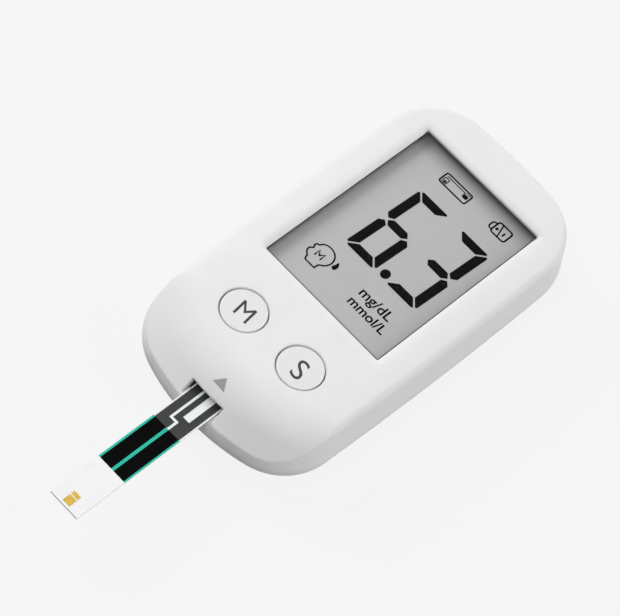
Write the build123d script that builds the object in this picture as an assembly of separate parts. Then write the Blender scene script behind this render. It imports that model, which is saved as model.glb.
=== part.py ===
"""Slim home blood glucose meter with a test strip in its port.

Frame: origin at the centre of the rear face, +X to the right of someone reading the display,
+Y towards the display end, +Z out of the front face. All lengths are in millimetres.
"""

import math
import os

from build123d import *

os.makedirs("parts", exist_ok=True)

# ---------------------------------------------------------------- driving dimensions
# Display window. The body is as long and wide as the window and what stands around it.
window_width = 30.7
window_length = 46.2
window_side_margin = 8.05
window_depth = 0.8
window_bevel = 1.0
window_corner_radius = 0.35
window_edge_rounding = 2.0
lens_thickness = 1.0
lens_margin = 1.4
lens_clearance = 0.15
gasket_thickness = 0.15
gasket_overhang = 0.2

# Body, seen from the front. Every arc runs tangent into the next one.
body_thickness = 14.65
side_radius = 1060.0
side_widest_y = 9.15
top_radius = 105.0
top_corner_radius = 14.2
port_radius = 44.8
port_corner_radius = 13.2
side_draft = 10.0
front_rounding = 1.6
rear_rounding = 5.8
crown_radius = 28.0
crown_width = 7.6
crown_sweep = 28.0
slope_plan_radius = 30.3
slope_length = 12.0
slope_radius = 12.0
slope_angle = 45.5

# Shells.
side_wall = 1.7
face_wall = 1.6
rear_wall = 1.5
parting_z = 2.6
lip_height = 1.3
lip_thickness = 0.8
lip_clearance = 0.1
shell_gap = 0.1

# Liquid crystal display.
lcd_gap = 0.6
lcd_side_margin = 0.85
lcd_end_margin = 1.0
lcd_contact_margin = 2.6
glass_thickness = 0.7
film_thickness = 0.15
contact_ledge = 2.4
holder_wall = 1.1
holder_clearance = 0.1
holder_ledge = 1.1
holder_below_film = 0.1
zebra_width = 1.6
zebra_side_margin = 1.0
zebra_clearance = 0.2

# Circuit board and what it carries. A place is x, and y from the window's port edge.
board_thickness = 1.0
board_gap = 2.8
board_side_clearance = 0.9
chip_height = 1.2
pin_width = 0.3
pin_pitch = 0.8
pin_length = 0.9
pin_thickness = 0.2
microcontroller_size = (9.0, 9.0)
microcontroller_place = (-3.0, 3.85)
microcontroller_pins = 9
measuring_chip_size = (5.0, 6.0)
measuring_chip_place = (3.0, -14.15)
measuring_chip_pins = 6
memory_chip_size = (4.0, 5.0)
memory_chip_place = (-9.0, -14.15)
memory_chip_pins = 4
capacitor_width = 1.6
capacitor_length = 0.8
capacitor_height = 0.8
capacitor_row_place = (-9.0, -6.65)
capacitor_row_pitch = 3.0
capacitor_row_count = 5
capacitor_others = [(-15.0, -13.15), (15.0, 14.85), (-15.5, 20.85)]
crystal_width = 3.2
crystal_length = 8.0
crystal_height = 2.4
crystal_place = (-14.5, 3.85)
buzzer_radius = 4.5
buzzer_height = 2.2
buzzer_hole_radius = 0.8
buzzer_place = (13.2, 2.85)

# Keys.
key_radius = 4.65
key_gap = 0.3
key_x = 7.7
key_from_window = 13.55
key_travel = 0.35
key_flange_width = 0.8
key_flange_thickness = 0.9
key_flange_gap = 0.15
key_stem_radius = 1.6
key_edge_rounding = 0.2
switch_width = 4.6
switch_height = 2.0
plunger_radius = 1.0
plunger_clearance = 0.05
plunger_depth = 0.6
plunger_height = 1.8

# Fasteners.
screw_radius = 0.85
screw_head_radius = 1.7
screw_head_height = 1.1
screw_sink = 0.9
screw_clearance = 0.05
head_clearance = 0.2
screw_grip = 5.4
boss_radius = 2.3
boss_gap = 0.1
rear_boss_height = 3.4
boss_holder_gap = 0.25
housing_screw_side_margin = 8.4
housing_screw_top_margin = 6.8
housing_screw_port_margin = 11.25
board_screw_side_margin = 6.2
board_screw_from_window = 7.75
board_screw_top_margin = 5.65
board_boss_radius = 1.9
board_screw_grip = 3.0

# Battery and its door.
cell_radius = 10.0
cell_height = 3.2
cell_top_margin = 28.9
cell_clearance = 0.3
cell_step_height = 0.6
cell_step_width = 1.1
well_wall = 1.2
well_height = 5.0
contact_thickness = 0.2
contact_width = 4.0
contact_gap = 0.1
contact_root_y = 6.0
contact_bend_y = 2.0
contact_touch_y = -3.0
contact_tip_y = -5.0
door_width = 22.4
door_cell_margin = 4.0
door_thickness = 1.35
door_clearance = 0.1
tongue_width = 0.8
tongue_thickness = 0.6
tongue_top_margin = 9.85
rail_width = 1.4
grip_rib_length = 9.0
grip_rib_width = 0.8
grip_rib_depth = 0.35
grip_rib_pitch = 1.7
grip_rib_count = 4

# Rating label.
label_width = 26.0
label_length = 20.0
label_door_gap = 10.5
label_thickness = 0.12
label_recess = 0.2
label_corner_radius = 1.5

# Test strip and its port.
strip_width = 7.06
strip_insertion = 6.4
strip_bare_length = 18.9
strip_film_length = 14.0
strip_cover_length = 11.8
strip_top_z = 8.9
strip_base_thickness = 0.35
track_thickness = 0.05
film_layer = 0.1
track_edge = 0.3
track_gap = 0.55
pad_thickness = 0.05
pad_width = 1.75
pad_length = 1.85
small_pad_length = 0.85
pad_gap = 0.25
pad_end_margin = 0.5
mouth_width = 8.1
mouth_height = 2.1
mouth_floor_gap = 0.2
mouth_edge_rounding = 0.3
connector_width = 12.4
connector_length = 9.4
connector_switch_gap = 1.8
connector_port_margin = 5.46
connector_height = 3.4
connector_nose = 1.4
slot_clearance = 0.1
spring_count = 5
spring_width = 0.6
spring_pitch = 1.3
spring_thickness = 0.15
spring_lift = 0.06
spring_foot = 1.2
spring_bend_back = 1.2
spring_touch_back = 3.0
spring_tip_back = 3.6
spring_tip_rise = 0.3
spring_chamber_margin = 0.45
connector_throat = 2.1
track_gap_x = -1.28
track_gap_step_x = 0.26
track_gap_step_from_film = 2.4
bare_window_x0 = 0.15
bare_window_x1 = 1.79
bare_window_from_film = 4.1

# ---------------------------------------------------------------- places worked out from the above
holder_reach = holder_clearance + holder_wall
window_top_margin = (
    lcd_end_margin + holder_reach + boss_holder_gap + boss_radius + housing_screw_top_margin
)
window_port_margin = (
    key_from_window + switch_width / 2 + connector_switch_gap
    + connector_length + connector_port_margin
)
body_width = window_width + 2 * window_side_margin
body_length = window_top_margin + window_length + window_port_margin
top_end_y = body_length / 2
port_end_y = -body_length / 2
crown_start_x = body_width / 2 - crown_width
slope_centre_y = port_end_y + slope_length + slope_plan_radius
window_top_y = top_end_y - window_top_margin
window_port_y = port_end_y + window_port_margin
window_y = (window_top_y + window_port_y) / 2
glass_width = window_width + 2 * lcd_side_margin
glass_top_y = window_top_y + lcd_end_margin
glass_port_y = window_port_y - lcd_contact_margin
rear_glass_port_y = glass_port_y + contact_ledge
key_y = window_port_y - key_from_window
cell_y = top_end_y - cell_top_margin
door_start_y = cell_y - cell_radius - door_cell_margin
tongue_end_y = top_end_y - tongue_top_margin
label_y = door_start_y - label_door_gap - label_length / 2
connector_front_y = port_end_y + connector_port_margin
strip_inner_y = connector_front_y + strip_insertion
strip_bare_end_y = strip_inner_y - strip_bare_length
strip_film_end_y = strip_bare_end_y - strip_film_length
strip_outer_y = strip_film_end_y - strip_cover_length

# Levels.
draft_slope = math.tan(math.radians(side_draft))
skirt = rear_rounding * (math.tan(math.radians(45 + side_draft / 2)) - 1)
face_z = body_thickness
inner_face_z = face_z - face_wall
window_z = face_z - window_depth
lens_top_z = window_z - gasket_thickness
lens_bottom_z = lens_top_z - lens_thickness
film_top_z = lens_bottom_z - lcd_gap
glass_top_z = film_top_z - film_thickness
glass_middle_z = glass_top_z - glass_thickness
glass_bottom_z = glass_middle_z - glass_thickness
lcd_bottom_z = glass_bottom_z - film_thickness
board_top_z = lcd_bottom_z - board_gap
board_bottom_z = board_top_z - board_thickness
strip_bottom_z = strip_top_z - film_layer - track_thickness - strip_base_thickness
track_bottom_z = strip_bottom_z + strip_base_thickness
track_top_z = track_bottom_z + track_thickness
mouth_floor_z = strip_bottom_z - mouth_floor_gap
channel_z = door_thickness + door_clearance
cell_bottom_z = channel_z
cell_top_z = cell_bottom_z + cell_height
screw_seat_z = screw_sink + screw_head_height
switch_top_z = board_top_z + switch_height
plunger_top_z = switch_top_z + plunger_height
housing_screw_x = body_width / 2 - housing_screw_side_margin
screw_places = [
    (side * housing_screw_x, y)
    for side in (-1, 1)
    for y in (top_end_y - housing_screw_top_margin, port_end_y + housing_screw_port_margin)
]
board_screw_x = body_width / 2 - board_screw_side_margin
board_screw_y = window_port_y - board_screw_from_window
board_screw_places = [
    (-board_screw_x, board_screw_y),
    (board_screw_x, board_screw_y),
    (0, top_end_y - board_screw_top_margin),
]


# ---------------------------------------------------------------- helpers
def block(x0, x1, y0, y1, z0, z1):
    """A box between two corners."""
    size = Box(x1 - x0, y1 - y0, z1 - z0)
    return Pos((x0 + x1) / 2, (y0 + y1) / 2, (z0 + z1) / 2) * size


def centred_block(width, y0, y1, z0, z1):
    """A box centred on x = 0."""
    return block(-width / 2, width / 2, y0, y1, z0, z1)


def disc(radius, x, y, z0, z1):
    """An upright cylinder between two heights."""
    return Pos(x, y, (z0 + z1) / 2) * Cylinder(radius, z1 - z0)


def rounded_plate(width, length, radius, x, y, z0, z1):
    """A flat plate with rounded corners."""
    sketch = Pos(x, y, z0) * RectangleRounded(width, length, radius)
    return extrude(sketch, amount=z1 - z0)


def bent_strip(points, thickness, width, x):
    """Sheet metal of one width, bent along points given as (y, z), centred on x."""
    strip = None
    for (y0, z0), (y1, z1) in zip(points, points[1:]):
        length = math.hypot(y1 - y0, z1 - z0)
        angle = math.degrees(math.atan2(z1 - z0, y1 - y0))
        leaf = Rot(angle, 0, 0) * (Pos(0, length / 2, 0) * Box(width, length, thickness))
        leaf = Pos(x, y0, z0) * leaf
        strip = leaf if strip is None else strip + leaf
        if (y1, z1) != points[-1]:
            bend = Rot(0, 90, 0) * Cylinder(thickness / 2, width)
            strip += Pos(x, y1, z1) * bend
    return strip


# ---------------------------------------------------------------- body outline
def toward(start, end):
    """The unit vector from one plan point to another."""
    return (end - start).normalized()


def meeting_point(first, first_distance, second, second_distance, upward):
    """The plan point at two given distances from two points, on the +Y or the -Y side."""
    gap = (second - first).length
    along = (first_distance**2 - second_distance**2 + gap**2) / (2 * gap)
    across = math.sqrt(first_distance**2 - along**2)
    u = toward(first, second)
    foot = first + u * along
    candidates = [
        foot + Vector(-u.Y, u.X) * across,
        foot - Vector(-u.Y, u.X) * across,
    ]
    return max(candidates, key=lambda p: p.Y if upward else -p.Y)


def outline(grow, z):
    """The plan shape of the body, grown outwards by a distance, at a height."""
    side_centre = Vector(body_width / 2 - side_radius, side_widest_y)
    top_centre = Vector(0, top_end_y - top_radius)
    port_centre = Vector(0, port_end_y + port_radius)
    top_corner = meeting_point(
        top_centre, top_radius - top_corner_radius,
        side_centre, side_radius - top_corner_radius, True,
    )
    port_corner = meeting_point(
        port_centre, port_radius - port_corner_radius,
        side_centre, side_radius - port_corner_radius, False,
    )
    top_join = top_centre + toward(top_centre, top_corner) * (top_radius + grow)
    top_side_join = side_centre + toward(side_centre, top_corner) * (side_radius + grow)
    port_side_join = side_centre + toward(side_centre, port_corner) * (side_radius + grow)
    port_join = port_centre + toward(port_centre, port_corner) * (port_radius + grow)
    top_corner_mid = arc_middle(top_corner, top_corner_radius + grow, top_join, top_side_join)
    side_mid = arc_middle(side_centre, side_radius + grow, top_side_join, port_side_join)
    port_corner_mid = arc_middle(
        port_corner, port_corner_radius + grow, port_side_join, port_join
    )
    half = [top_join, top_corner_mid, top_side_join, side_mid, port_side_join]
    half += [port_corner_mid, port_join]
    other = [Vector(-p.X, p.Y) for p in reversed(half)]
    top_point = top_centre + Vector(0, top_radius + grow)
    port_point = port_centre - Vector(0, port_radius + grow)
    loop = half + [port_point] + other + [top_point, half[0]]
    arcs = [ThreePointArc(*loop[i : i + 3]) for i in range(0, len(loop) - 2, 2)]
    return Pos(0, 0, z) * make_face(Curve() + arcs)


def arc_middle(centre, radius, start, end):
    """The point half way along the short arc between two points of a circle."""
    return centre + toward(centre, (start + end) / 2) * radius


# ---------------------------------------------------------------- body solid
def crown_cutter(inset):
    """Everything above the front face, which is flat with a crown along both sides."""
    far = body_length
    top = face_z - inset
    reach = body_width
    rise = 2 * crown_radius
    crown = crown_radius - inset
    fall = math.radians(crown_sweep)
    edge_x = crown_start_x + crown * math.sin(fall)
    edge_z = top - crown * (1 - math.cos(fall))
    middle_x = crown_start_x + crown * math.sin(fall / 2)
    middle_z = top - crown * (1 - math.cos(fall / 2))
    section = (
        Line((-crown_start_x, -far, top), (crown_start_x, -far, top))
        + ThreePointArc(
            (crown_start_x, -far, top), (middle_x, -far, middle_z), (edge_x, -far, edge_z)
        )
        + Polyline(
            (edge_x, -far, edge_z), (reach, -far, edge_z), (reach, -far, top + rise),
            (-reach, -far, top + rise), (-reach, -far, edge_z), (-edge_x, -far, edge_z),
        )
        + ThreePointArc(
            (-edge_x, -far, edge_z), (-middle_x, -far, middle_z), (-crown_start_x, -far, top)
        )
    )
    return extrude(make_face(section), amount=2 * far, dir=(0, 1, 0))


def slope_cutter(inset):
    """Everything above the end that slopes to the port, turned about an upright axis."""
    top = face_z - inset
    bend = slope_radius - inset
    bend_z = face_z - slope_radius
    turn = math.radians(slope_angle)
    y = slope_centre_y
    start, middle, end = (
        (slope_plan_radius + bend * math.sin(angle), y, bend_z + bend * math.cos(angle))
        for angle in (0, turn / 2, turn)
    )
    far = body_length
    far_z = end[2] - (far - end[0]) * math.tan(turn)
    section = ThreePointArc(start, middle, end) + Polyline(
        end, (far, y, far_z), (far, y, top + face_z), (start[0], y, top + face_z), start
    )
    return revolve(make_face(section), Axis((0, y, 0), (0, 0, -1)), 180)


def blank(inset, floor_z):
    """The drafted body with its rear rounding, or the space inside its walls, uncut in front."""
    low = outline(skirt - inset - floor_z * draft_slope, floor_z)
    high = outline(skirt - inset - face_z * draft_slope, face_z)
    solid = loft([low, high], ruled=True)
    bottom = solid.faces().sort_by(Axis.Z)[0]
    return fillet(bottom.edges(), rear_rounding - inset)


def body_solid(inset, floor_z, ceiling_inset):
    """The body's outer shape, or the space inside its walls, without the front rounding."""
    return blank(inset, floor_z) - crown_cutter(ceiling_inset) - slope_cutter(ceiling_inset)


def faces_up(face):
    """Whether a face belongs to the front rather than to the steep side walls."""
    return face.normal_at().Z > math.sin(math.radians(2 * side_draft))


def crown_rim(solid):
    """The edges where the side walls meet the crowned front face."""
    fronts = [f for f in solid.faces() if faces_up(f)]
    walls = [f for f in solid.faces() if not faces_up(f)]
    return [e for f in fronts for e in f.edges() if any(e in g.edges() for g in walls)]


def part_of(solid, z0, z1):
    """The stretch of a solid between two heights."""
    return solid & centred_block(2 * body_width, -body_length, body_length, z0, z1)


outer = blank(0, 0) - crown_cutter(0)
outer = fillet(crown_rim(outer), front_rounding)
outer -= slope_cutter(0)
cavity = body_solid(side_wall, rear_wall, face_wall)
mid_wall = body_solid(side_wall / 2, rear_wall / 2, face_wall / 2)


# ---------------------------------------------------------------- housing
def screw_discs(places, radius, z0, z1):
    """The same upright cylinder at every screw."""
    return [disc(radius, x, y, z0, z1) for x, y in places]


def window_cut():
    """The window opening: a bevel down to the lens, then straight through."""
    low = RectangleRounded(window_width, window_length, window_corner_radius)
    high = RectangleRounded(
        window_width + 2 * window_bevel,
        window_length + 2 * window_bevel,
        window_corner_radius + window_bevel,
    )
    centre = Pos(0, window_y, 0)
    bevel = loft([Pos(0, 0, window_z) * low, Pos(0, 0, face_z) * high], ruled=True)
    through = extrude(Pos(0, 0, inner_face_z - face_wall) * low, amount=2 * face_wall)
    return centre * (bevel + part_of(through, 0, window_z))


def window_rim(shell):
    """The edges around the top of the window bevel."""
    half_width = window_width / 2 + window_bevel + window_edge_rounding
    half_length = window_length / 2 + window_bevel + window_edge_rounding
    level = [e for e in shell.edges() if abs(e.center().Z - face_z) < window_depth / 10]
    return [
        e
        for e in level
        if abs(e.center().X) < half_width and abs(e.center().Y - window_y) < half_length
    ]


def mouth_cut():
    """The strip port's mouth in the sloping end of the front housing."""
    top = mouth_floor_z + mouth_height
    inner = connector_front_y - side_wall
    return centred_block(mouth_width, -body_length, inner + 2 * side_wall, mouth_floor_z, top)


def front_housing():
    """Front cover: face, side walls, window, key holes, port and the bosses inside."""
    shell = part_of(outer - cavity, parting_z, face_z)
    shell -= window_cut()
    shell = fillet(window_rim(shell), window_edge_rounding)
    shell -= rounded_plate(
        window_width + 2 * lens_margin + 2 * lens_clearance,
        window_length + 2 * lens_margin + 2 * lens_clearance,
        window_corner_radius + lens_clearance,
        0, window_y, inner_face_z - face_wall, window_z,
    )
    top = inner_face_z + face_wall / 2
    for boss in screw_discs(screw_places, boss_radius, rear_boss_height + boss_gap, top):
        shell += boss & mid_wall
    for boss in screw_discs(board_screw_places, board_boss_radius, board_top_z, top):
        shell += boss & mid_wall
    pilot = screw_radius + screw_clearance
    for bore in screw_discs(screw_places, pilot, 0, screw_seat_z + screw_reach()):
        shell -= bore
    board_top = board_top_z + board_screw_grip + screw_clearance
    for bore in screw_discs(board_screw_places, pilot, board_top_z, board_top):
        shell -= bore
    for side in (-1, 1):
        hole = disc(key_radius + key_gap, side * key_x, key_y, inner_face_z - 1, face_z + 1)
        shell -= hole
    shell -= mouth_cut()
    return fillet(mouth_lip(shell), mouth_edge_rounding)


def mouth_lip(shell):
    """The mouth's upper lip on the sloping end."""
    top = mouth_floor_z + mouth_height
    level = [e for e in shell.edges() if abs(e.center().Z - top) < mouth_edge_rounding / 2]
    return min(level, key=lambda e: e.center().Y)


def screw_reach():
    """Length of a housing screw's bore above its seat."""
    return rear_boss_height - screw_seat_z + boss_gap + screw_grip + screw_clearance


def rail_block():
    """The raised floor and rails that the battery door slides in."""
    half = door_width / 2 + tongue_width + door_clearance + rail_width
    start = door_start_y - door_clearance - rail_width
    return block(-half, half, start, body_length, 0, parting_z - shell_gap) & outer


def door_channel():
    """The space of the door and of its tongues, open at the display end."""
    start = door_start_y - door_clearance
    width = door_width + 2 * door_clearance
    groove_low = door_thickness - tongue_thickness - door_clearance
    channel = centred_block(width, start, body_length, -rear_wall, channel_z)
    groove_width = width + 2 * tongue_width
    return channel + centred_block(groove_width, start, body_length, groove_low, channel_z)


def rear_housing():
    """Rear cover: shallow tray with a locating lip, battery well and screw bosses."""
    joint_z = parting_z - shell_gap
    thick_wall = side_wall + lip_clearance + lip_thickness
    inner = body_solid(thick_wall, rear_wall, face_wall)
    tray = part_of(outer - inner, 0, joint_z)
    inside_front = body_solid(side_wall + lip_clearance, rear_wall, face_wall)
    lip = part_of(inside_front - inner, joint_z, parting_z + lip_height)
    for gap in screw_discs(screw_places, boss_radius + head_clearance, 0, face_z):
        lip -= gap
    tray += lip
    tray += rail_block()
    well_radius = cell_radius + cell_clearance
    tray += disc(well_radius + well_wall, 0, cell_y, channel_z, well_height)
    for boss in screw_discs(screw_places, boss_radius, 0, joint_z):
        tray += boss & outer
    for boss in screw_discs(screw_places, boss_radius, joint_z, rear_boss_height):
        tray += boss & inside_front
    tray -= disc(well_radius, 0, cell_y, 0, well_height + 1)
    tray -= door_channel()
    for bore in screw_discs(screw_places, screw_radius + screw_clearance, 0, well_height):
        tray -= bore
    for sink in screw_discs(screw_places, screw_head_radius + head_clearance, -1, screw_seat_z):
        tray -= sink
    tray -= contact_slot()
    return tray - rounded_plate(
        label_width + 2 * label_recess, label_length + 2 * label_recess,
        label_corner_radius, 0, label_y, -1, label_recess,
    )


def contact_slot():
    """The slot in the battery well that the positive contact reaches through."""
    half = contact_width / 2 + cell_clearance
    return block(
        0, cell_radius + cell_clearance + 2 * well_wall,
        cell_y - half, cell_y + half, parting_z - shell_gap, well_height + 1,
    )


def battery_door():
    """Sliding battery door with side tongues and finger grooves."""
    door = centred_block(door_width, door_start_y, body_length, -1, door_thickness) & outer
    low = door_thickness - tongue_thickness
    width = door_width + 2 * tongue_width
    door += centred_block(width, door_start_y, tongue_end_y, low, door_thickness)
    for i in range(grip_rib_count):
        y = door_start_y + 2 * grip_rib_pitch + i * grip_rib_pitch
        door -= centred_block(grip_rib_length, y, y + grip_rib_width, -1, grip_rib_depth)
    return door


def rating_label():
    """Blank label in its recess on the back."""
    low = label_recess - label_thickness
    return rounded_plate(
        label_width, label_length, label_corner_radius, 0, label_y, low, label_recess
    )


def housing_screws():
    """Four self-tapping screws that hold the covers together."""
    top = screw_seat_z + screw_reach() - screw_clearance
    return [pan_screw(x, y, screw_seat_z, top) for x, y in screw_places]


def board_screws():
    """Three screws that hold the circuit board to the front cover."""
    top = board_top_z + board_screw_grip
    return [pan_screw(x, y, board_bottom_z, top) for x, y in board_screw_places]


def pan_screw(x, y, seat_z, top_z):
    """A small screw with a cross recess, driven from below."""
    low = seat_z - screw_head_height
    head = disc(screw_head_radius, x, y, low, seat_z)
    head = fillet(head.edges().sort_by(Axis.Z)[0], screw_head_height / 3)
    screw = head + disc(screw_radius, x, y, seat_z, top_z)
    arm = 1.2 * screw_head_radius
    slot = Box(arm, screw_radius / 3, screw_head_height) + Box(
        screw_radius / 3, arm, screw_head_height
    )
    return screw - Pos(x, y, low) * slot


# ---------------------------------------------------------------- display
def display_window():
    """Clear lens under the window opening."""
    return rounded_plate(
        window_width + 2 * lens_margin, window_length + 2 * lens_margin,
        window_corner_radius, 0, window_y, lens_bottom_z, lens_top_z,
    )


def window_gasket():
    """Black adhesive frame between the lens and the front cover."""
    frame = rounded_plate(
        window_width + 2 * lens_margin, window_length + 2 * lens_margin,
        window_corner_radius, 0, window_y, lens_top_z, window_z,
    )
    return frame - centred_block(
        window_width - 2 * gasket_overhang,
        window_port_y + gasket_overhang,
        window_top_y - gasket_overhang,
        lens_top_z - 1, window_z + 1,
    )


def lcd_layers():
    """The display's stack: front film, two glasses and the reflector."""
    return {
        "lcd_polariser": centred_block(
            glass_width, glass_port_y, glass_top_y, glass_top_z, film_top_z
        ),
        "lcd_front_glass": centred_block(
            glass_width, glass_port_y, glass_top_y, glass_middle_z, glass_top_z
        ),
        "lcd_rear_glass": centred_block(
            glass_width, rear_glass_port_y, glass_top_y, glass_bottom_z, glass_middle_z
        ),
        "lcd_reflector": centred_block(
            glass_width, rear_glass_port_y, glass_top_y, lcd_bottom_z, glass_bottom_z
        ),
    }


def zebra_span():
    """Width and the two edges of the zebra strip under the contact ledge."""
    width = glass_width - 2 * zebra_side_margin
    middle = glass_port_y + contact_ledge / 2
    return width, middle - zebra_width / 2, middle + zebra_width / 2


def zebra_connector():
    """Rubber strip that joins the display's contacts to the board."""
    width, start, end = zebra_span()
    return centred_block(width, start, end, board_top_z, glass_middle_z)


def lcd_holder():
    """Frame that carries the display above the board."""
    frame = centred_block(
        glass_width + 2 * holder_reach, glass_port_y - holder_reach, glass_top_y + holder_reach,
        board_top_z, film_top_z - holder_below_film,
    )
    frame -= centred_block(
        glass_width + 2 * holder_clearance,
        glass_port_y - holder_clearance, glass_top_y + holder_clearance,
        lcd_bottom_z, face_z,
    )
    frame -= centred_block(
        glass_width - 2 * holder_ledge, rear_glass_port_y + holder_ledge,
        glass_top_y - holder_ledge, board_top_z - 1, face_z,
    )
    width, start, end = zebra_span()
    return frame - centred_block(
        width + 2 * zebra_clearance, start - zebra_clearance, end + zebra_clearance,
        board_top_z - 1, face_z,
    )


# ---------------------------------------------------------------- board
def main_board():
    """Circuit board shaped to the inside of the covers."""
    inset = side_wall + board_side_clearance
    shape = outline(skirt - board_top_z * draft_slope - inset, board_bottom_z)
    board = extrude(shape, amount=board_thickness, dir=(0, 0, 1))
    notch = boss_radius + screw_clearance + head_clearance
    for hole in screw_discs(screw_places, notch, 0, face_z):
        board -= hole
    for hole in screw_discs(board_screw_places, screw_radius + head_clearance, 0, face_z):
        board -= hole
    return board


def on_board(place):
    """The x and y of a place that is given from the window's port edge."""
    return place[0], window_port_y + place[1]


def chip(size, place, pins):
    """A flat chip under the board with pins along both long sides."""
    width, length = size
    x, y = on_board(place)
    low = board_bottom_z - chip_height
    body = block(
        x - width / 2, x + width / 2, y - length / 2, y + length / 2, low, board_bottom_z
    )
    body = chamfer(body.faces().sort_by(Axis.Z)[0].edges(), pin_thickness)
    first = y - (pins - 1) * pin_pitch / 2
    for i in range(pins):
        y_pin = first + i * pin_pitch
        body += block(
            x - width / 2 - pin_length, x + width / 2 + pin_length,
            y_pin - pin_width / 2, y_pin + pin_width / 2,
            board_bottom_z - pin_thickness, board_bottom_z,
        )
    return body


def capacitors():
    """Small ceramic capacitors beside the chips, under the board."""
    row_x, row_y = capacitor_row_place
    row = [(row_x + i * capacitor_row_pitch, row_y) for i in range(capacitor_row_count)]
    places = [on_board(place) for place in row + capacitor_others]
    half_x = capacitor_width / 2
    half_y = capacitor_length / 2
    low = board_bottom_z - capacitor_height
    return [
        block(x - half_x, x + half_x, y - half_y, y + half_y, low, board_bottom_z)
        for x, y in places
    ]


def crystal():
    """Oval crystal can beside the microcontroller."""
    low = board_bottom_z - crystal_height
    return rounded_plate(
        crystal_width, crystal_length, 0.49 * crystal_width, *on_board(crystal_place),
        low, board_bottom_z,
    )


def buzzer():
    """Round beeper under the board, with a sound hole."""
    low = board_bottom_z - buzzer_height
    x, y = on_board(buzzer_place)
    can = disc(buzzer_radius, x, y, low, board_bottom_z)
    can = fillet(can.edges().sort_by(Axis.Z)[0], buzzer_height / 6)
    return can - disc(buzzer_hole_radius, x, y, low - 1, low + buzzer_height / 2)


# ---------------------------------------------------------------- keys
def key(side):
    """Round key with a flange behind the face and a stem down to its switch."""
    x = side * key_x
    flange_top = inner_face_z - key_flange_gap
    flange_bottom = flange_top - key_flange_thickness
    cap = disc(key_radius, x, key_y, flange_bottom, face_z)
    cap = fillet(cap.edges().sort_by(Axis.Z)[-1], key_edge_rounding)
    cap += disc(key_radius + key_flange_width, x, key_y, flange_bottom, flange_top)
    return cap + disc(key_stem_radius, x, key_y, plunger_top_z, flange_bottom)


def switch(side):
    """Tact switch on the board, with a bore for its plunger."""
    x = side * key_x
    half = switch_width / 2
    base = block(x - half, x + half, key_y - half, key_y + half, board_top_z, switch_top_z)
    low = switch_top_z - plunger_depth - key_travel - key_gap
    return base - disc(plunger_radius + plunger_clearance, x, key_y, low, face_z)


def plunger(side):
    """The switch's moving button, pushed down by the key."""
    low = switch_top_z - plunger_depth
    return disc(plunger_radius, side * key_x, key_y, low, plunger_top_z)


# ---------------------------------------------------------------- battery
def coin_cell():
    """Lithium coin cell, its stepped can up to the smaller face."""
    step_z = cell_top_z - cell_step_height
    can = disc(cell_radius, 0, cell_y, cell_bottom_z, step_z)
    can = fillet(can.edges().sort_by(Axis.Z)[0], cell_step_height / 2)
    face = disc(cell_radius - cell_step_width, 0, cell_y, step_z, cell_top_z)
    return can + face


def negative_contact():
    """Leaf under the board that presses on the cell's smaller face."""
    level = board_bottom_z - contact_thickness / 2
    touch = cell_top_z + contact_gap + contact_thickness / 2
    points = [
        (cell_y + contact_root_y, level),
        (cell_y + contact_bend_y, level),
        (cell_y + contact_touch_y, touch),
        (cell_y + contact_tip_y, touch + 2 * contact_thickness),
    ]
    return bent_strip(points, contact_thickness, contact_width, 0)


def positive_contact():
    """Bracket under the board that touches the cell's side."""
    half = contact_width / 2
    inner = cell_radius + contact_gap
    outer_x = inner + contact_thickness
    foot_x = cell_radius + cell_clearance + 2 * well_wall
    low = parting_z + shell_gap
    leaf = block(inner, outer_x, cell_y - half, cell_y + half, low, board_bottom_z)
    level = board_bottom_z - contact_thickness
    return leaf + block(inner, foot_x, cell_y - half, cell_y + half, level, board_bottom_z)


# ---------------------------------------------------------------- strip port and test strip
def strip_connector():
    """Connector on the board that the test strip is pushed into."""
    rear = connector_front_y + connector_length
    body = centred_block(
        connector_width, connector_front_y, rear, board_top_z, board_top_z + connector_height
    )
    body = chamfer(body.edges().filter_by(Axis.X).group_by(Axis.Z)[-1].sort_by(Axis.Y)[0],
                   connector_nose)
    slot_top = strip_top_z + slot_clearance
    body -= centred_block(
        strip_width + 2 * slot_clearance, connector_front_y - 1,
        strip_inner_y + 2 * slot_clearance, strip_bottom_z - slot_clearance, slot_top,
    )
    chamber_width = (spring_count - 1) * spring_pitch + spring_width + 2 * spring_chamber_margin
    chamber_top = board_top_z + connector_height - spring_width
    return body - centred_block(
        chamber_width, connector_front_y + connector_throat, rear + 1, slot_top, chamber_top
    )


def strip_springs():
    """Contact springs that press on the strip's tracks."""
    rear = connector_front_y + connector_length
    half = spring_thickness / 2
    touch_z = track_top_z + spring_lift + half
    riser_y = rear + 2 * spring_thickness
    arm_z = board_top_z + connector_height - spring_width - 4 * half
    points = [
        (riser_y + spring_foot, board_top_z + half),
        (riser_y, board_top_z + half),
        (riser_y, arm_z),
        (strip_inner_y - spring_bend_back, arm_z),
        (strip_inner_y - spring_touch_back, touch_z),
        (strip_inner_y - spring_tip_back, touch_z + spring_tip_rise),
    ]
    first = -(spring_count - 1) * spring_pitch / 2
    return [
        bent_strip(points, spring_thickness, spring_width, first + i * spring_pitch)
        for i in range(spring_count)
    ]


def strip_base():
    """Plastic carrier of the test strip."""
    return centred_block(
        strip_width, strip_outer_y, strip_inner_y, strip_bottom_z, track_bottom_z
    )


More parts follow.
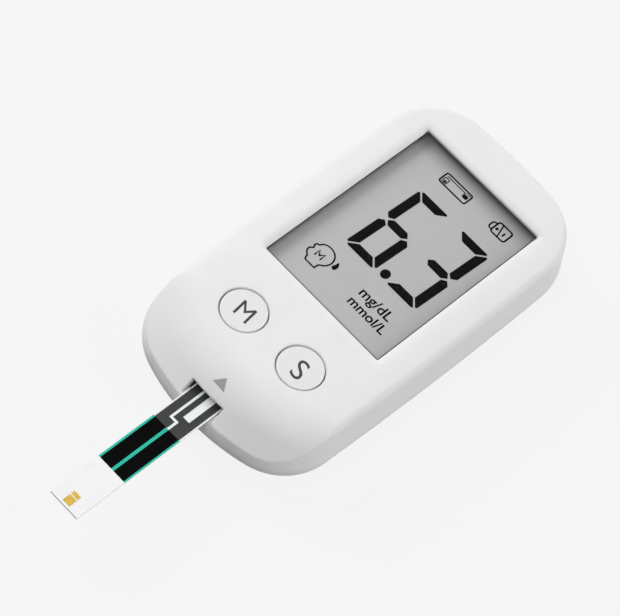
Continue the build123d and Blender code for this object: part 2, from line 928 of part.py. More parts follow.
def strip_tracks():
    """The strip's two carbon tracks, parted by a gap that steps sideways."""
    edge = strip_width / 2 - track_edge
    half = track_gap / 2
    end = strip_film_end_y
    z0, z1 = track_bottom_z, track_top_z
    step = strip_bare_end_y + track_gap_step_from_film
    window_end = strip_bare_end_y + bare_window_from_film
    left = block(-edge, track_gap_x - half, step - half, strip_inner_y, z0, z1)
    left += block(-edge, track_gap_step_x - half, end, step - half, z0, z1)
    right = block(track_gap_x + half, edge, step + half, strip_inner_y, z0, z1)
    right += block(track_gap_step_x + half, edge, end, step + half, z0, z1)
    right -= block(
        bare_window_x0, bare_window_x1, window_end, connector_front_y, z0 - 1, z1 + 1
    )
    return [left, right]


def strip_film():
    """Insulating film over the tracks."""
    return centred_block(
        strip_width, strip_film_end_y, strip_bare_end_y, track_top_z, strip_top_z
    )


def strip_cover():
    """Clear cover over the blood chamber at the outer end."""
    return centred_block(
        strip_width, strip_outer_y, strip_film_end_y, track_bottom_z, strip_top_z
    )


def strip_pads():
    """Two gold electrodes at the outer end."""
    top = strip_top_z + pad_thickness
    first = strip_outer_y + pad_end_margin
    second = first + pad_length + pad_gap
    return [
        centred_block(pad_width, first, first + pad_length, strip_top_z, top),
        centred_block(pad_width, second, second + small_pad_length, strip_top_z, top),
    ]


# ---------------------------------------------------------------- write every piece
pieces = {
    "front_housing": front_housing(),
    "rear_housing": rear_housing(),
    "battery_door": battery_door(),
    "rating_label": rating_label(),
    "housing_screws": housing_screws(),
    "display_window": display_window(),
    "window_gasket": window_gasket(),
    "lcd_holder": lcd_holder(),
    "zebra_connector": zebra_connector(),
    "main_board": main_board(),
    "board_screws": board_screws(),
    "microcontroller": chip(
        microcontroller_size, microcontroller_place, microcontroller_pins
    ),
    "measuring_chip": chip(
        measuring_chip_size, measuring_chip_place, measuring_chip_pins
    ),
    "memory_chip": chip(memory_chip_size, memory_chip_place, memory_chip_pins),
    "capacitors": capacitors(),
    "crystal": crystal(),
    "buzzer": buzzer(),
    "key_m": key(-1),
    "key_s": key(1),
    "switch_m": switch(-1),
    "switch_s": switch(1),
    "switch_plunger_m": plunger(-1),
    "switch_plunger_s": plunger(1),
    "coin_cell": coin_cell(),
    "battery_contact_negative": negative_contact(),
    "battery_contact_positive": positive_contact(),
    "strip_connector": strip_connector(),
    "strip_springs": strip_springs(),
    "strip_base": strip_base(),
    "strip_tracks": strip_tracks(),
    "strip_film": strip_film(),
    "strip_cover": strip_cover(),
    "strip_pads": strip_pads(),
}
pieces.update(lcd_layers())

for name, shape in pieces.items():
    solids = shape if isinstance(shape, list) else [shape]
    export_step(Compound(children=[s for item in solids for s in item.solids()]),
                f"parts/{name}.step")
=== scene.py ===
"""Looks of the blood glucose meter: materials, print, stage, lights and camera.

Sizes are in millimetres and angles in degrees. MM turns a size into Blender's metres.
"""

import math

import bmesh
import bpy
from mathutils import Matrix, Vector
from mathutils.bvhtree import BVHTree


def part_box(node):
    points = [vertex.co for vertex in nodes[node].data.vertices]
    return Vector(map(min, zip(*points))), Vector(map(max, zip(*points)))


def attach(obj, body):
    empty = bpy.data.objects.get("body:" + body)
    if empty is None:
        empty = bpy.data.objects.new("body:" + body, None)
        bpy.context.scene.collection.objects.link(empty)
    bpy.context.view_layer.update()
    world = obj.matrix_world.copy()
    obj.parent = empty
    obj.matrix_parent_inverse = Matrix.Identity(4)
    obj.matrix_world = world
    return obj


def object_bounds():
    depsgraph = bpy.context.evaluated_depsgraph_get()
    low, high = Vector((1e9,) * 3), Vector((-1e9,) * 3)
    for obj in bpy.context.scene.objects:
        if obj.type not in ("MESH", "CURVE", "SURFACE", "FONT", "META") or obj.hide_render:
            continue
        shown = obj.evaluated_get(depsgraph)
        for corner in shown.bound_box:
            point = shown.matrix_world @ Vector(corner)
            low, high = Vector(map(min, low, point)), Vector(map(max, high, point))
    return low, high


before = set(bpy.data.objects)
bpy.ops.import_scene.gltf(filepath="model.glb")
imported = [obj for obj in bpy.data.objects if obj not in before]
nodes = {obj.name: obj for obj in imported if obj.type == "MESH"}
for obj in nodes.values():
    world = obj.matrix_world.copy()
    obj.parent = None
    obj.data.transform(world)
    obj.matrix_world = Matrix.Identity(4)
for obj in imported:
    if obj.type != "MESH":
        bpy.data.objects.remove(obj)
cad_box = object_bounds()
scene = bpy.context.scene

MM = 0.001
DISPLAY_LOW, DISPLAY_HIGH = (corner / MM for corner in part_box("lcd_polariser"))


def direction(azimuth, elevation):
    """The way from the part to a place around it. Azimuth 0 is the port end, 90 the right side."""
    a, e = math.radians(azimuth), math.radians(elevation)
    return Vector((math.cos(e) * math.sin(a), -math.cos(e) * math.cos(a), math.sin(e)))


# ---------------------------------------------------------------- camera
PICTURE_WIDTH_PX = 620
FOCAL_PX = 3000
SENSOR_WIDTH = 36
NEAREST_SEEN, FARTHEST_SEEN = 10, 20000
CAMERA_AZIMUTH = 23.855
CAMERA_ELEVATION = 55.531
CAMERA_ROLL = 25.211
CAMERA_TARGET = Vector((0, 10.48, 13.85))
# From the target, to the right, up and back along the camera's own axes.
CAMERA_PLACE = Vector((-18.0042, -12.5258, 577.4606))


def make_camera():
    """The photograph's viewpoint: a long lens above the port end, a little to the right."""
    data = bpy.data.cameras.new("camera")
    data.sensor_width = SENSOR_WIDTH
    data.lens = FOCAL_PX / PICTURE_WIDTH_PX * SENSOR_WIDTH
    data.clip_start = NEAREST_SEEN * MM
    data.clip_end = FARTHEST_SEEN * MM
    camera = bpy.data.objects.new("camera", data)
    scene.collection.objects.link(camera)
    level = direction(CAMERA_AZIMUTH, CAMERA_ELEVATION).to_track_quat("Z", "Y").to_matrix()
    turn = level @ Matrix.Rotation(math.radians(CAMERA_ROLL), 3, "Z")
    place = (CAMERA_TARGET + turn @ CAMERA_PLACE) * MM
    camera.matrix_world = Matrix.Translation(place) @ turn.to_4x4()
    scene.camera = camera


make_camera()

# ---------------------------------------------------------------- node helpers
# A Mix node's sockets for colours, by number: their names are shared with other sockets.
MIX_FACTOR, MIX_FIRST, MIX_SECOND, MIX_RESULT = 0, 6, 7, 2
# Where most values of a noise lie.
NOISE_LOW, NOISE_HIGH = 0.3, 0.7
BEVEL_SAMPLES = 6
# Between these two, along the part, the housing's edges keep their true normals.
SHARP_FROM = DISPLAY_LOW.y - 4
SHARP_TO = DISPLAY_HIGH.y - 2


def grey(share):
    """A neutral colour."""
    return (share, share, share)


def shaded(colour, share):
    """A colour made darker."""
    return tuple(part * share for part in colour)


def rgba(colour):
    """A colour as a socket takes it. A socket stays as it is."""
    return colour if isinstance(colour, bpy.types.NodeSocket) else (*colour, 1)


def new_material(name):
    """An empty node material and its tree."""
    made = bpy.data.materials.new(name)
    made.use_nodes = True
    made.node_tree.nodes.clear()
    return made, made.node_tree


def add(tree, kind, links=None, **settings):
    """A node with its settings, and its inputs linked or set by name or number."""
    node = tree.nodes.new(kind)
    for key, value in settings.items():
        setattr(node, key, value)
    for key, value in (links or {}).items():
        if isinstance(value, bpy.types.NodeSocket):
            tree.links.new(value, node.inputs[key])
        else:
            node.inputs[key].default_value = value
    return node


def calculate(tree, operation, *values):
    """The result of one Math node."""
    return add(tree, "ShaderNodeMath", dict(enumerate(values)), operation=operation).outputs[0]


def coordinate(tree, axis):
    """A point's place along one axis of the part's frame, in metres."""
    place = add(tree, "ShaderNodeTexCoord").outputs["Object"]
    return add(tree, "ShaderNodeSeparateXYZ", {"Vector": place}).outputs[axis]


def noise(tree, size, detail=4.0, roughness=0.55):
    """Noise in the part's frame. Size is the width of its blotches."""
    links = {
        "Vector": add(tree, "ShaderNodeTexCoord").outputs["Object"],
        "Scale": 1 / (size * MM),
        "Detail": detail,
        "Roughness": roughness,
    }
    return add(tree, "ShaderNodeTexNoise", links).outputs["Fac"]


def spread(tree, value, low, high):
    """Maps a noise onto a range."""
    links = {
        "Value": value,
        "From Min": NOISE_LOW, "From Max": NOISE_HIGH,
        "To Min": low, "To Max": high,
    }
    return add(tree, "ShaderNodeMapRange", links).outputs["Result"]


def blend(tree, factor, first, second):
    """The first colour at factor 0, the second at 1."""
    links = {MIX_FACTOR: factor, MIX_FIRST: rgba(first), MIX_SECOND: rgba(second)}
    return add(tree, "ShaderNodeMix", links, data_type="RGBA").outputs[MIX_RESULT]


def uneven(tree, colour, darker, size, detail):
    """A colour with blotches of a darker share of itself."""
    blotches = spread(tree, noise(tree, size, detail), 0, 1)
    return blend(tree, blotches, shaded(colour, darker), colour)


def bump(tree, height, depth, edge=0.0):
    """A bump of a real depth. With an edge radius, edges at the part's two ends look rounded."""
    links = {"Height": height, "Distance": depth * MM}
    if edge:
        middle, reach = (SHARP_FROM + SHARP_TO) / 2, (SHARP_TO - SHARP_FROM) / 2
        between = calculate(tree, "COMPARE", coordinate(tree, "Y"), middle * MM, reach * MM)
        soft = add(tree, "ShaderNodeBevel", {"Radius": edge * MM}, samples=BEVEL_SAMPLES)
        sharp = add(tree, "ShaderNodeNewGeometry")
        links["Normal"] = blend(tree, between, soft.outputs["Normal"], sharp.outputs["Normal"])
    return add(tree, "ShaderNodeBump", links).outputs["Normal"]


def principled(made, tree, links):
    """Ends a material in one Principled shader."""
    shader = add(tree, "ShaderNodeBsdfPrincipled", links)
    add(tree, "ShaderNodeOutputMaterial", {"Surface": shader.outputs[0]})
    return made


# ---------------------------------------------------------------- kinds of material
# The smoothest and roughest spots of a surface, as shares of its roughness.
MOULDED_GLOSS = (0.85, 1.15)
METAL_GLOSS = (0.7, 1.4)
CLEAR_GLOSS = (0.8, 1.2)
# The display film's least and greatest roughness.
FILM_ROUGHNESS = (0.4, 0.5)
# Painted shade of the window's rim on the display's colour: the axis across the rim, the rim's
# place, how far inwards the painted shade reaches, and the share of light that is left at the rim.
DISPLAY_PAINTED_SHADES = (
    ("Y", DISPLAY_HIGH.y, -6.0, 0.62),
    ("X", DISPLAY_LOW.x, 3.4, 0.92),
    ("X", DISPLAY_HIGH.x, -2.2, 0.85),
)


def gloss(tree, fine, roughness, shares):
    """A roughness that varies with a fine noise."""
    smoothest, roughest = (roughness * share for share in shares)
    return spread(tree, fine, smoothest, roughest)


def moulded(name, colour, roughness, grain=0.25, depth=0.004, variation=0.03, edge=0.0,
            specular=0.5):
    """Moulded plastic, rubber or ink: fine grain, slow variation of colour and gloss."""
    made, tree = new_material(name)
    fine = noise(tree, grain, detail=5, roughness=0.6)
    return principled(made, tree, {
        "Base Color": uneven(tree, colour, 1 - variation, size=9, detail=3),
        "Roughness": gloss(tree, fine, roughness, MOULDED_GLOSS),
        "Specular IOR Level": specular,
        "Normal": bump(tree, fine, depth, edge),
    })


def metal(name, colour, roughness):
    """Plated metal with fine scratches and dull spots."""
    made, tree = new_material(name)
    scratches = noise(tree, size=0.4, detail=6, roughness=0.65)
    return principled(made, tree, {
        "Base Color": uneven(tree, colour, darker=0.86, size=3, detail=4),
        "Metallic": 1.0,
        "Roughness": gloss(tree, scratches, roughness, METAL_GLOSS),
        "Normal": bump(tree, scratches, depth=0.002),
    })


def clear(name, colour, alpha, roughness):
    """Clear or milky plastic and glass that light passes straight through."""
    made, tree = new_material(name)
    fine = noise(tree, size=0.3)
    return principled(made, tree, {
        "Base Color": uneven(tree, colour, darker=0.96, size=5, detail=4),
        "Roughness": gloss(tree, fine, roughness, CLEAR_GLOSS),
        "Alpha": alpha,
        "Normal": bump(tree, fine, depth=0.0005),
    })


def painted_edge_shade(tree, axis, edge, reach, darkest):
    """A painted shade: a share of the colour that grows from darkest at an edge to 1 at its reach
    from that edge.
    """
    links = {
        "Value": coordinate(tree, axis),
        "From Min": edge * MM, "From Max": (edge + reach) * MM,
        "To Min": darkest, "To Max": 1.0,
    }
    ramp = add(tree, "ShaderNodeMapRange", links, interpolation_type="SMOOTHERSTEP")
    return ramp.outputs["Result"]


def display_film(name, colour):
    """The display's grey film, with a painted shade where the window's rim stands over it."""
    made, tree = new_material(name)
    light, *others = [painted_edge_shade(tree, *shade) for shade in DISPLAY_PAINTED_SHADES]
    for other in others:
        light = calculate(tree, "MULTIPLY", light, other)
    fine = noise(tree, size=0.12, detail=5, roughness=0.6)
    lit = uneven(tree, colour, darker=0.98, size=9, detail=3)
    return principled(made, tree, {
        # Painted shade: the film's colour is darkened towards the window's rim.
        "Base Color": blend(tree, light, grey(0), lit),
        "Roughness": spread(tree, fine, *FILM_ROUGHNESS),
        "Specular IOR Level": 0.15,
        "Normal": bump(tree, fine, depth=0.001),
    })


# ---------------------------------------------------------------- materials
materials = {
    # Shells and keys.
    "housing": moulded("housing_plastic", grey(0.83), 0.6, edge=0.7, specular=0.12),
    "key": moulded("key_plastic", grey(0.8), 0.42, specular=0.3),
    "label": moulded("label_film", (0.6, 0.61, 0.62), 0.45, grain=0.2, depth=0.002),
    # Display.
    "lens": clear("window_plastic", grey(0.1), alpha=0.012, roughness=0.05),
    "gasket": moulded("gasket_film", (0.015, 0.015, 0.016), 0.7),
    # The film's colour carries a painted shade near the window's rim.
    "polariser": display_film("polariser_film", (0.505, 0.51, 0.5)),
    "glass": clear("display_glass", (0.6, 0.65, 0.62), alpha=0.5, roughness=0.05),
    "holder": moulded("holder_plastic", (0.7, 0.7, 0.68), 0.6),
    "silicone": moulded("zebra_rubber", (0.6, 0.42, 0.34), 0.7),
    # Board and power.
    "board": moulded("solder_mask", (0.02, 0.16, 0.06), 0.3, grain=0.5, depth=0.006,
                     variation=0.2),
    "chip": moulded("chip_epoxy", (0.02, 0.02, 0.022), 0.6),
    "ceramic": moulded("capacitor_ceramic", (0.4, 0.27, 0.15), 0.5, grain=0.1, variation=0.15),
    "dark": moulded("dark_plastic", (0.03, 0.03, 0.032), 0.55),
    "bright": metal("nickel", grey(0.72), 0.28),
    "steel": metal("zinc_steel", (0.62, 0.62, 0.63), 0.32),
    "spring": metal("gold_plating", (0.85, 0.65, 0.32), 0.25),
    # Test strip.
    "strip_base": moulded("strip_carrier", (0.9, 0.93, 0.93), 0.5, grain=0.15, depth=0.002),
    "carbon": moulded("carbon_ink", (0.012, 0.014, 0.014), 0.6, grain=0.12, depth=0.006,
                      variation=0.4),
    "teal": moulded("teal_film", (0.012, 0.5, 0.36), 0.4, grain=0.15, depth=0.002,
                    variation=0.1),
    "cover": clear("cover_film", grey(0.97), alpha=0.95, roughness=0.3),
    "gold": metal("gold_electrode", (0.58, 0.39, 0.08), 0.45),
    # Print.
    "band": moulded("black_ink", grey(0.001), 0.6, grain=0.12, depth=0.002, variation=0.4,
                    specular=0.03),
    "segment": moulded("liquid_crystal", grey(0.003), 0.45, grain=0.1, depth=0.001,
                       variation=0.3, specular=0.03),
    "legend": moulded("legend_ink", (0.062, 0.062, 0.064), 0.55, grain=0.1, depth=0.002,
                      variation=0.2, specular=0.2),
    "mark": moulded("mark_ink", grey(0.32), 0.5, grain=0.1, depth=0.002, variation=0.1),
}
# The CAD nodes that each material goes on.
nodes_of = {
    "housing": ("front_housing", "rear_housing", "battery_door"),
    "key": ("key_m", "key_s"),
    "label": ("rating_label",),
    "lens": ("display_window",),
    "gasket": ("window_gasket",),
    "polariser": ("lcd_polariser",),
    "glass": ("lcd_front_glass", "lcd_rear_glass"),
    "holder": ("lcd_holder", "lcd_reflector"),
    "silicone": ("zebra_connector",),
    "board": ("main_board",),
    "chip": ("microcontroller", "measuring_chip", "memory_chip"),
    "ceramic": ("capacitors",),
    "dark": ("buzzer", "switch_m", "switch_s", "switch_plunger_m", "switch_plunger_s",
             "strip_connector"),
    "bright": ("crystal", "coin_cell"),
    "steel": ("housing_screws", "board_screws"),
    "spring": ("battery_contact_negative", "battery_contact_positive", "strip_springs"),
    "strip_base": ("strip_base",),
    "carbon": ("strip_tracks",),
    "teal": ("strip_film",),
    "cover": ("strip_cover",),
    "gold": ("strip_pads",),
}
for key, names in nodes_of.items():
    for name in names:
        slots = nodes[name].data.materials
        slots.clear()
        slots.append(materials[key])

# ---------------------------------------------------------------- flat print
PRINT_THICKNESS = 0.012
# Each shape of a plate lies this much higher than the one before, so that no two coincide.
LAYER_STEP = 0.0004
# The least that a mitred corner is divided by, which keeps sharp corners short.
MITRE_LIMIT = 0.3
# The height of a capital letter as a share of the font's size.
CAPITAL_SHARE = 0.73
TEXT_CURVE_STEPS = 6
CORNER_STEPS = 4


def place_piece(name, data, body, material, slot):
    """Links a mesh as a piece with its material and body. The slot is not used."""
    data.materials.clear()
    data.materials.append(materials[material])
    piece = bpy.data.objects.new(name, data)
    scene.collection.objects.link(piece)
    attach(piece, body)


def mitred_sides(before, here, after, width):
    """The points to the left and right of a line at one of its corners."""
    normals = []
    for start, end in ((before, here), (here, after)):
        length = math.dist(start, end)
        if length:
            normals.append(((start[1] - end[1]) / length, (end[0] - start[0]) / length))
    across, along = (sum(parts) / len(normals) for parts in zip(*normals))
    reach = width / 2 / max(across ** 2 + along ** 2, MITRE_LIMIT)
    x, y = here
    return (x + across * reach, y + along * reach), (x - across * reach, y - along * reach)


class Plate:
    """Flat printed shapes on one plane, each of them a thin solid."""

    def __init__(self, z, y=0.0):
        self.mesh = bmesh.new()
        self.z = z
        self.y = y
        self.shapes = 0

    def next_layer(self):
        """The bottom and top of the next shape."""
        low = self.z + LAYER_STEP * self.shapes
        self.shapes += 1
        return low, low + PRINT_THICKNESS

    def vertex(self, x, y, z):
        """One corner of a solid."""
        return self.mesh.verts.new(Vector((x, y + self.y, z)) * MM)

    def skin(self, first, second):
        """The faces between two rings of as many corners."""
        for i in range(len(first)):
            j = (i + 1) % len(first)
            self.mesh.faces.new((first[i], first[j], second[j], second[i]))

    def polygon(self, points):
        """A filled outline, anticlockwise."""
        bottom, top = ([self.vertex(x, y, z) for x, y in points] for z in self.next_layer())
        self.mesh.faces.new(top)
        self.mesh.faces.new(list(reversed(bottom)))
        self.skin(bottom, top)

    def stroke(self, points, width, closed=False):
        """A line of a given width through points, with mitred corners."""
        low, top = self.next_layer()
        last = len(points) - 1
        rings = []
        for i, here in enumerate(points):
            before = points[i - 1] if i or closed else here
            after = points[(i + 1) % len(points)] if i < last or closed else here
            left, right = mitred_sides(before, here, after, width)
            corners = ((*left, low), (*right, low), (*right, top), (*left, top))
            rings.append([self.vertex(*corner) for corner in corners])
        for ring, following in zip(rings, rings[1:]):
            self.skin(ring, following)
        if closed:
            self.skin(rings[-1], rings[0])
        else:
            self.mesh.faces.new(rings[0])
            self.mesh.faces.new(list(reversed(rings[-1])))

    def piece(self, name, body, material, slot):
        """Turns the plate into a piece that rides on a body."""
        bmesh.ops.recalc_face_normals(self.mesh, faces=self.mesh.faces)
        data = bpy.data.meshes.new(name)
        self.mesh.to_mesh(data)
        self.mesh.free()
        place_piece(name, data, body, material, slot)


def arc(cx, cy, radius, start, end, steps):
    """Points along an arc."""
    angles = [math.radians(start + (end - start) * i / steps) for i in range(steps + 1)]
    return [(cx + radius * math.cos(a), cy + radius * math.sin(a)) for a in angles]


def ellipse(centre, radii, corners):
    """Points around an ellipse, anticlockwise."""
    angles = [math.radians(360 * i / corners) for i in range(corners)]
    return [
        (centre[0] + radii[0] * math.cos(a), centre[1] + radii[1] * math.sin(a)) for a in angles
    ]


def rounded_box(x0, x1, y0, y1, radius):
    """The outline of a box with rounded corners, anticlockwise."""
    return (
        arc(x1 - radius, y0 + radius, radius, -90, 0, CORNER_STEPS)
        + arc(x1 - radius, y1 - radius, radius, 0, 90, CORNER_STEPS)
        + arc(x0 + radius, y1 - radius, radius, 90, 180, CORNER_STEPS)
        + arc(x0 + radius, y0 + radius, radius, 180, 270, CORNER_STEPS)
    )


def text_piece(name, words, place, height, look, heavier=0.0, lean=0.0, narrow=1.0,
               centred=False):
    """Plain lettering lying flat. Height is a capital's, and look its body, material and slot."""
    curve = bpy.data.curves.new(name, "FONT")
    curve.body = words
    curve.extrude = PRINT_THICKNESS / 2 * MM
    curve.offset = heavier * MM
    curve.size = height * MM / CAPITAL_SHARE
    curve.shear = lean
    curve.resolution_u = TEXT_CURVE_STEPS
    if centred:
        curve.align_x = "CENTER"
    holder = bpy.data.objects.new(name + "_curve", curve)
    scene.collection.objects.link(holder)
    bpy.context.view_layer.update()
    depsgraph = bpy.context.evaluated_depsgraph_get()
    data = bpy.data.meshes.new_from_object(holder.evaluated_get(depsgraph))
    bpy.data.objects.remove(holder)
    stretch = Matrix.Diagonal((narrow, 1, 1, 1))
    data.transform(Matrix.Translation(Vector(place) * MM) @ stretch)
    data.name = name
    place_piece(name, data, *look)


# ---------------------------------------------------------------- display content
# The content's x starts at the part's middle, and its y this far below the display's middle.
CONTENT_DROP = 9.45
CONTENT_Y = (DISPLAY_LOW.y + DISPLAY_HIGH.y) / 2 - CONTENT_DROP
LCD_LIFT = 0.01
LCD_Z = DISPLAY_HIGH.z + LCD_LIFT
LCD_LOOK = ("meter", "segment", "lcd_film")

DIGIT_WIDTH = 8.15
DIGIT_HEIGHT = 21.3
DIGIT_BOTTOM = 2.05
DIGIT_LEAN = 0.0375
BAR_WIDTH = 2.0
BAR_GAP = 0.36
CORNER_CUT = 0.9
# How far an upright bar's end stands off the digit's middle: its outer corner, tip, inner corner.
WAIST_OUTER, WAIST_TIP, WAIST_INNER = 1.35, 0.2, 1.2
CROSSBAR_INSET = 0.1
# The left edge of each digit, and its lit bars: a 6 and a 3.
DIGITS = ((-7.9, "afgecd"), (3.25, "abgcd"))
DECIMAL_POINT_CENTRE = (2.35, 3.35)
DECIMAL_POINT_RADII = (1.03, 1.18)
DECIMAL_POINT_CORNERS = 24


def digit(plate, left, bars):
    """One seven-bar digit, with its bars called a to g as usual."""
    wide, high, bar, cut = DIGIT_WIDTH, DIGIT_HEIGHT, BAR_WIDTH, CORNER_CUT
    gap = BAR_GAP / math.sqrt(2)
    middle = high / 2
    tip = (cut + gap) / 2
    flat = [
        (cut, high), (tip, high - cut + tip), (bar + gap, high - bar),
        (wide - bar - gap, high - bar), (wide - tip, high - cut + tip), (wide - cut, high),
    ]
    upright = [
        (0, high - cut), (0, middle + WAIST_OUTER), (bar / 2, middle + WAIST_TIP + gap),
        (bar, middle + WAIST_INNER), (bar, high - bar - gap), (cut - tip, high - tip),
    ]
    inset = bar / 2 + gap + CROSSBAR_INSET
    crossbar = [
        (inset, middle), (bar + gap, middle + bar / 2), (wide - bar - gap, middle + bar / 2),
        (wide - inset, middle), (wide - bar - gap, middle - bar / 2), (bar + gap, middle - bar / 2),
    ]
    shapes = {
        "a": flat,
        "b": [(wide - x, y) for x, y in upright],
        "c": [(wide - x, high - y) for x, y in upright],
        "d": [(x, high - y) for x, y in flat],
        "e": [(x, high - y) for x, y in upright],
        "f": upright,
        "g": crossbar,
    }
    for lit in bars:
        plate.polygon([
            (left + x + DIGIT_LEAN * (y + DIGIT_BOTTOM), y + DIGIT_BOTTOM)
            for x, y in shapes[lit]
        ])


def strip_icon(plate):
    """A test strip: its outline, a track, its window with blood in it, and its contact."""
    plate.stroke(rounded_box(-6.55, 0.5, 27.98, 30.8, 0.45), width=0.36, closed=True)
    plate.stroke([(-6.1, 30.15), (-1.05, 30.15), (-1.05, 29.1)], width=0.22)
    plate.stroke(rounded_box(-6.1, -5.0, 28.35, 29.65, 0.2), width=0.22, closed=True)
    plate.polygon(rounded_box(-5.85, -5.2, 28.5, 29.1, 0.15))
    plate.polygon(rounded_box(-0.95, 0.1, 28.95, 29.95, 0.2))
    plate.stroke([(-0.8, 30.35), (0.2, 30.35)], width=0.2)


def battery_icon(plate):
    """A battery on its side: its case and cap, and a slash between a plus and a minus."""
    left, right, low, high = 7.85, 11.5, 27.98, 31.1
    cap_x, cap_low, cap_high, cap_radius = 7.45, 28.9, 29.75, 0.5
    plate.stroke(rounded_box(left, right, low, high, 0.55), width=0.38, closed=True)
    plate.stroke(
        [(left, cap_high + cap_radius)]
        + arc(cap_x, cap_high, cap_radius, 90, 180, CORNER_STEPS)
        + arc(cap_x, cap_low, cap_radius, 180, 270, CORNER_STEPS)
        + [(left, cap_low - cap_radius)],
        width=0.36,
    )
    plate.stroke([(8.9, 31.0), (9.75, 28.1)], width=0.32)
    plate.stroke([(8.2, 29.35), (8.95, 29.35)], width=0.34)
    plate.stroke([(8.57, 28.95), (8.57, 29.75)], width=0.34)
    plate.stroke([(10.35, 28.9), (10.35, 29.9)], width=0.38)


def head_icon(plate):
    """A plain head from the side with an M in it, and a drop beside it."""
    skull = arc(-8.15, -3.7, 2.45, -58, 130, 18)
    front = [
        (-10.1, -2.6), (-10.6, -2.75), (-10.75, -3.3), (-10.4, -3.9), (-10.95, -4.6),
        (-10.9, -5.3), (-10.3, -5.95), (-9.95, -6.2), (-9.75, -6.95), (-9.5, -7.15),
    ]
    neck = [(-7.15, -7.15), (-7.05, -6.1)]
    letter = [(-9.2, -5.0), (-9.2, -3.35), (-8.45, -4.35), (-7.7, -3.35), (-7.7, -5.0)]
    drop = (
        [(-4.98, -2.35), (-5.0, -3.0), (-5.2, -3.75)]
        + arc(-4.75, -3.95, 0.5, 170, 330, 8)
        + [(-4.2, -3.6), (-4.35, -3.0), (-4.65, -2.55)]
    )
    plate.stroke(skull + front + neck, width=0.33, closed=True)
    plate.stroke(letter, width=0.34)
    plate.polygon(drop)


digits = Plate(LCD_Z, CONTENT_Y)
for digit_left, lit_bars in DIGITS:
    digit(digits, digit_left, lit_bars)
digits.polygon(ellipse(DECIMAL_POINT_CENTRE, DECIMAL_POINT_RADII, DECIMAL_POINT_CORNERS))
digits.piece("lcd_digits", *LCD_LOOK)

icons = Plate(LCD_Z, CONTENT_Y)
strip_icon(icons)
battery_icon(icons)
head_icon(icons)
icons.piece("lcd_icons", *LCD_LOOK)

UNITS_HEAVIER = 0.055
# The unit words, with the place of each word's lower left corner and its height.
UNITS = (
    ("lcd_units_upper", "mg/dL", 2.0, -4.15, 2.4),
    ("lcd_units_lower", "mmol/L", 1.9, -7.27, 2.25),
)
for name, words, x, y, height in UNITS:
    text_piece(name, words, (x, CONTENT_Y + y, LCD_Z), height, LCD_LOOK, heavier=UNITS_HEAVIER)

# ---------------------------------------------------------------- key legends
LEGEND_LIFT = 0.002
LEGEND_LEAN = -0.12
LEGEND_NARROW = 0.96


def key_legend(key, letter, x, y, height):
    """A letter on a key. Its place is the middle of its base line, from the key's centre."""
    low, high = (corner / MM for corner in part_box(key))
    centre = (low + high) / 2
    place = (centre.x + x, centre.y + y, high.z + LEGEND_LIFT)
    text_piece(key + "_legend", letter, place, height, (key, "legend", "key_plastic"),
               lean=LEGEND_LEAN, narrow=LEGEND_NARROW, centred=True)


key_legend("key_m", "M", 0.54, -2.0, 4.05)
key_legend("key_s", "S", 0.45, -2.65, 4.7)

# ---------------------------------------------------------------- insertion mark
# Its tip and its two other corners.
MARK_CORNERS = ((0.54, -38.33), (-1.12, -40.16), (2.02, -40.28))
MARK_ROWS = 12
MARK_LIFT = 0.012
ABOVE_THE_PART = 30


def printed_triangle(name, corners, rows):
    """A printed triangle, in rows of small ones, that follows the front housing's curve."""
    housing = nodes["front_housing"].data
    surface = BVHTree.FromPolygons(
        [vertex.co.copy() for vertex in housing.vertices],
        [tuple(face.vertices) for face in housing.polygons],
    )
    down = Vector((0, 0, -1))
    lift = Vector((0, 0, MARK_LIFT * MM))
    tip, left, right = (Vector(corner) for corner in corners)
    mesh = bmesh.new()
    grid = []
    for i in range(rows + 1):
        start, end = tip.lerp(left, i / rows), tip.lerp(right, i / rows)
        line = []
        for j in range(i + 1):
            spot = start.lerp(end, j / i) if i else tip
            hit = surface.ray_cast(Vector((*spot, ABOVE_THE_PART)) * MM, down)[0]
            line.append(mesh.verts.new(hit + lift))
        grid.append(line)
    for upper, lower in zip(grid, grid[1:]):
        for j, corner in enumerate(upper):
            mesh.faces.new((corner, lower[j], lower[j + 1]))
            if j + 1 < len(upper):
                mesh.faces.new((corner, lower[j + 1], upper[j + 1]))
    data = bpy.data.meshes.new(name)
    mesh.to_mesh(data)
    mesh.free()
    place_piece(name, data, "meter", "mark", "housing")


printed_triangle("insert_mark", MARK_CORNERS, MARK_ROWS)

# ---------------------------------------------------------------- strip bands
# The left and right edge of each black band on the strip's film.
BAND_EDGES = ((-3.08, -0.15), (0.52, 3.2))
BAND_LIFT = 0.004
FILM_LOW, FILM_HIGH = (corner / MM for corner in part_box("strip_film"))

bands = Plate(FILM_HIGH.z + BAND_LIFT)
for left, right in BAND_EDGES:
    bands.polygon([
        (left, FILM_LOW.y), (right, FILM_LOW.y), (right, FILM_HIGH.y), (left, FILM_HIGH.y),
    ])
bands.piece("strip_bands", "test_strip", "band", "carbon")

# ---------------------------------------------------------------- stage
BACKGROUND = grey(0.922)
WORLD_STRENGTH = 0.03
FLOOR_HALF = 4000
FLOOR_GAP = 0.02
FLOOR_SEEN = grey(0.91)
FLOOR_DARKER = 0.995
FLOOR_BOUNCE = grey(0.35)
# How much of what is seen of the floor is lit, and so keeps the part's shadow.
FLOOR_SHADOW_SHARE = 0.07


def camera_like(tree):
    """1 for rays from the camera, through glass or off a gloss, else 0."""
    path = add(tree, "ShaderNodeLightPath").outputs
    bent = calculate(tree, "MAXIMUM", path["Is Transmission Ray"], path["Is Glossy Ray"])
    return calculate(tree, "MAXIMUM", path["Is Camera Ray"], bent)


def mix_shaders(tree, factor, first, second):
    """One shader at factor 0 and another at 1."""
    links = {0: factor, 1: first.outputs[0], 2: second.outputs[0]}
    return add(tree, "ShaderNodeMixShader", links)


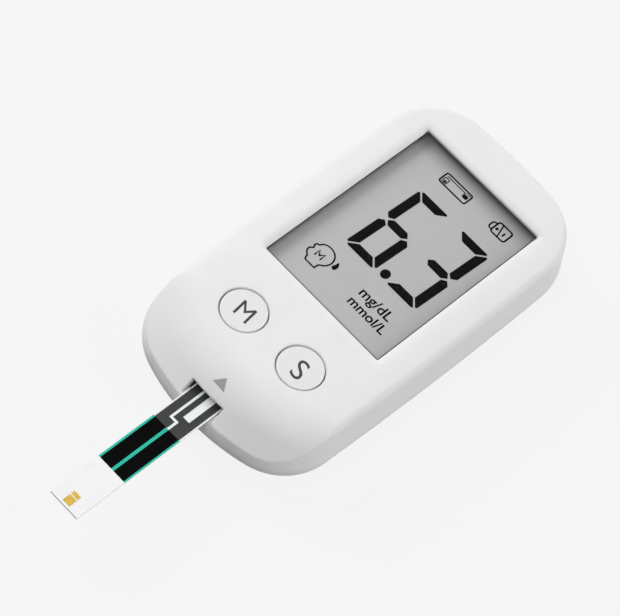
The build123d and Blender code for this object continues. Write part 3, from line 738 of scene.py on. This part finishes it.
def make_world():
    """Faint even light from all round, seen as the pale background."""
    world = bpy.data.worlds.new("world")
    scene.world = world
    world.use_nodes = True
    tree = world.node_tree
    tree.nodes.clear()
    light = add(tree, "ShaderNodeBackground", {"Color": rgba(grey(1)), "Strength": WORLD_STRENGTH})
    seen = add(tree, "ShaderNodeBackground", {"Color": rgba(BACKGROUND), "Strength": 1.0})
    mixed = mix_shaders(tree, camera_like(tree), light, seen)
    add(tree, "ShaderNodeOutputWorld", {"Surface": mixed.outputs[0]})


def make_floor():
    """A matt floor. It is seen pale, with a soft shadow, and throws less light back than that."""
    half = FLOOR_HALF * MM
    low = cad_box[0].z - FLOOR_GAP * MM
    data = bpy.data.meshes.new("floor")
    corners = [(-half, -half, low), (half, -half, low), (half, half, low), (-half, half, low)]
    data.from_pydata(corners, [], [(0, 1, 2, 3)])
    floor = bpy.data.objects.new("floor", data)
    scene.collection.objects.link(floor)
    made, tree = new_material("floor_paper")
    paper = blend(tree, noise(tree, size=0.8), shaded(FLOOR_SEEN, FLOOR_DARKER), FLOOR_SEEN)
    lit = add(tree, "ShaderNodeBsdfDiffuse", {"Color": paper})
    glow = add(tree, "ShaderNodeEmission", {"Color": rgba(BACKGROUND), "Strength": 1.0})
    seen = mix_shaders(tree, FLOOR_SHADOW_SHARE, glow, lit)
    bounce = add(tree, "ShaderNodeBsdfDiffuse", {"Color": rgba(FLOOR_BOUNCE)})
    mixed = mix_shaders(tree, camera_like(tree), bounce, seen)
    add(tree, "ShaderNodeOutputMaterial", {"Surface": mixed.outputs[0]})
    data.materials.append(made)


# ---------------------------------------------------------------- lights
SOFTBOX_WIDTH = 600
SOFTBOX_DISTANCE = 900
# Each softbox's azimuth, elevation and power in watts.
SOFTBOXES = {
    "port_softbox": (0, 60, 2.85),
    "back_softbox": (180, 12, 2.35),
    "right_softbox": (90, 12, 3.3),
    "back_right_softbox": (135, 35, 2.05),
    "left_softbox": (270, 35, 6.5),
}


def make_softbox(name, azimuth, elevation, power):
    """A round softbox aimed at the part."""
    data = bpy.data.lights.new(name, "AREA")
    data.shape = "DISK"
    data.size = SOFTBOX_WIDTH * MM
    data.energy = power
    lamp = bpy.data.objects.new(name, data)
    scene.collection.objects.link(lamp)
    toward = direction(azimuth, elevation)
    lamp.location = toward * SOFTBOX_DISTANCE * MM
    lamp.rotation_mode = "QUATERNION"
    lamp.rotation_quaternion = toward.to_track_quat("Z", "Y")


make_world()
make_floor()
for name, (azimuth, elevation, power) in SOFTBOXES.items():
    make_softbox(name, azimuth, elevation, power)

scene.view_settings.view_transform = "Standard"
